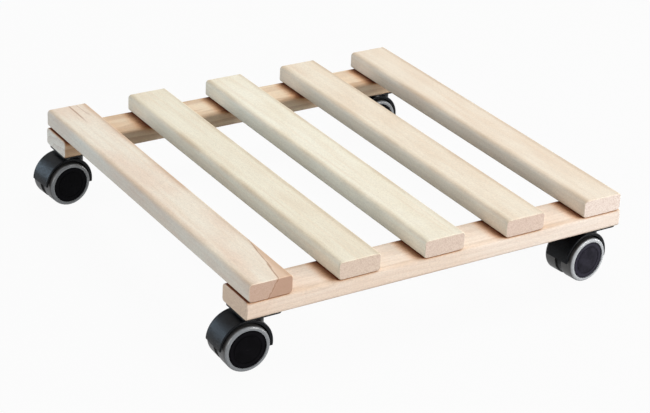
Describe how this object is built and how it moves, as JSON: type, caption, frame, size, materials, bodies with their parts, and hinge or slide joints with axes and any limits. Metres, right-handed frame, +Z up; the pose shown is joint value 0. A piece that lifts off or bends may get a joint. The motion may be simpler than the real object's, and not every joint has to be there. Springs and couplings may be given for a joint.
{
  "type": "plant caddy",
  "caption": "Square rolling plant stand: spaced wooden slats on two cross rails, carried at the corners by swivelling twin-wheel casters.",
  "frame": {"origin": "on the floor, under the middle of the whole footprint with the casters as they stand in the picture", "axes": "+X along the rails to the right as seen from the front, +Y along the slats towards the back, +Z up"},
  "size_m": [0.3638, 0.3502, 0.075],
  "materials": {
    "slat_wood": "bare pale hardwood, fine sanded",
    "rail_wood": "bare pale hardwood, fine sanded",
    "plate_steel": "bright zinc plated sheet",
    "pin_steel": "bright zinc plated rod",
    "screw_steel": "bright zinc plated",
    "housing_plastic": "black moulded, soft sheen",
    "wheel_plastic": "black moulded, satin",
    "tyre": "light grey soft tread"
  },
  "bodies": {
    "deck": {"slat_1": "slat_wood", "slat_2": "slat_wood", "slat_3": "slat_wood", "slat_4": "slat_wood", "slat_5": "slat_wood", "front_rail": "rail_wood", "rear_rail": "rail_wood", "front_rail_screws": "screw_steel", "rear_rail_screws": "screw_steel", "front_left_plate": "plate_steel", "front_left_plate_screws": "screw_steel", "front_left_swivel_pin": "pin_steel", "front_right_plate": "plate_steel", "front_right_plate_screws": "screw_steel", "front_right_swivel_pin": "pin_steel", "rear_left_plate": "plate_steel", "rear_left_plate_screws": "screw_steel", "rear_left_swivel_pin": "pin_steel", "rear_right_plate": "plate_steel", "rear_right_plate_screws": "screw_steel", "rear_right_swivel_pin": "pin_steel"},
    "front_left_caster": {"front_left_housing": "housing_plastic", "front_left_axle": "pin_steel"},
    "front_left_inner_roller": {"front_left_inner_wheel": "wheel_plastic", "front_left_inner_tyre": "tyre"},
    "front_left_outer_roller": {"front_left_outer_wheel": "wheel_plastic", "front_left_outer_tyre": "tyre"},
    "front_right_caster": {"front_right_housing": "housing_plastic", "front_right_axle": "pin_steel"},
    "front_right_inner_roller": {"front_right_inner_wheel": "wheel_plastic", "front_right_inner_tyre": "tyre"},
    "front_right_outer_roller": {"front_right_outer_wheel": "wheel_plastic", "front_right_outer_tyre": "tyre"},
    "rear_left_caster": {"rear_left_housing": "housing_plastic", "rear_left_axle": "pin_steel"},
    "rear_left_inner_roller": {"rear_left_inner_wheel": "wheel_plastic", "rear_left_inner_tyre": "tyre"},
    "rear_left_outer_roller": {"rear_left_outer_wheel": "wheel_plastic", "rear_left_outer_tyre": "tyre"},
    "rear_right_caster": {"rear_right_housing": "housing_plastic", "rear_right_axle": "pin_steel"},
    "rear_right_inner_roller": {"rear_right_inner_wheel": "wheel_plastic", "rear_right_inner_tyre": "tyre"},
    "rear_right_outer_roller": {"rear_right_outer_wheel": "wheel_plastic", "rear_right_outer_tyre": "tyre"}
  },
  "joints": [
    {"name": "front_left_swivel", "type": "hinge", "parent": "deck", "child": "front_left_caster", "pos_m": [-0.1475, -0.1565, 0.04], "axis": [0, 0, 1], "continuous": true},
    {"name": "front_left_inner_spin", "type": "hinge", "parent": "front_left_caster", "child": "front_left_inner_roller", "pos_m": [-0.15949, -0.15604, 0.019], "axis": [0.0384, 0.9993, 0], "continuous": true},
    {"name": "front_left_outer_spin", "type": "hinge", "parent": "front_left_caster", "child": "front_left_outer_roller", "pos_m": [-0.15949, -0.15604, 0.019], "axis": [0.0384, 0.9993, 0], "continuous": true},
    {"name": "front_right_swivel", "type": "hinge", "parent": "deck", "child": "front_right_caster", "pos_m": [0.1655, -0.1565, 0.04], "axis": [0, 0, 1], "continuous": true},
    {"name": "front_right_inner_spin", "type": "hinge", "parent": "front_right_caster", "child": "front_right_inner_roller", "pos_m": [0.15358, -0.15788, 0.019], "axis": [-0.1149, 0.9934, 0], "continuous": true},
    {"name": "front_right_outer_spin", "type": "hinge", "parent": "front_right_caster", "child": "front_right_outer_roller", "pos_m": [0.15358, -0.15788, 0.019], "axis": [-0.1149, 0.9934, 0], "continuous": true},
    {"name": "rear_left_swivel", "type": "hinge", "parent": "deck", "child": "rear_left_caster", "pos_m": [-0.1475, 0.1552, 0.04], "axis": [0, 0, 1], "continuous": true},
    {"name": "rear_left_inner_spin", "type": "hinge", "parent": "rear_left_caster", "child": "rear_left_inner_roller", "pos_m": [-0.15946, 0.1542, 0.019], "axis": [-0.0837, 0.9965, 0], "continuous": true},
    {"name": "rear_left_outer_spin", "type": "hinge", "parent": "rear_left_caster", "child": "rear_left_outer_roller", "pos_m": [-0.15946, 0.1542, 0.019], "axis": [-0.0837, 0.9965, 0], "continuous": true},
    {"name": "rear_right_swivel", "type": "hinge", "parent": "deck", "child": "rear_right_caster", "pos_m": [0.1655, 0.1552, 0.04], "axis": [0, 0, 1], "continuous": true},
    {"name": "rear_right_inner_spin", "type": "hinge", "parent": "rear_right_caster", "child": "rear_right_inner_roller", "pos_m": [0.15352, 0.15457, 0.019], "axis": [-0.0523, 0.9986, 0], "continuous": true},
    {"name": "rear_right_outer_spin", "type": "hinge", "parent": "rear_right_caster", "child": "rear_right_outer_roller", "pos_m": [0.15352, 0.15457, 0.019], "axis": [-0.0523, 0.9986, 0], "continuous": true}
  ]
}
